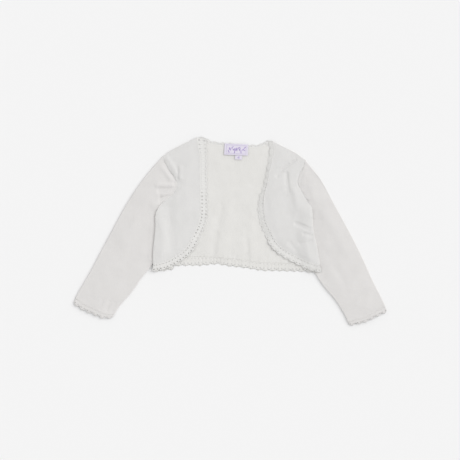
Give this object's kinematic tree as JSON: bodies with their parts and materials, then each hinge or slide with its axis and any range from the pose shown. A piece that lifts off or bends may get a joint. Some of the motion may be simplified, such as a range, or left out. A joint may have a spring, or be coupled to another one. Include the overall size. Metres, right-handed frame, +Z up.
{
  "type": "child's knit bolero cardigan",
  "caption": "Long-sleeved open-front knit bolero cardigan laid flat, with rounded fronts and a scalloped openwork edging.",
  "frame": {"origin": "centre of the whole garment's box on the surface it lies on", "axes": "+X across the garment from its left cuff to its right cuff as seen from above, +Y from the hem towards the neck, +Z up from the surface"},
  "size_m": [0.5633, 0.338, 0.0091],
  "materials": {
    "knit": "fine off-white stockinette cotton knit, matt with a faint halo of fibre",
    "edging": "off-white openwork knit edging with eyelets and a scalloped free edge, matt",
    "woven_tape": "pale lilac-white woven tape with a lilac motif, slight satin sheen"
  },
  "bodies": {
    "root": {"back": "knit", "front_left": "knit", "front_right": "knit", "sleeve_left": "knit", "sleeve_right": "knit", "trim_front_left": "edging", "trim_front_right": "edging", "trim_neck": "edging", "trim_hem": "edging", "trim_cuff_left": "edging", "trim_cuff_right": "edging", "label": "woven_tape", "size_tab": "woven_tape"}
  },
  "joints": []
}
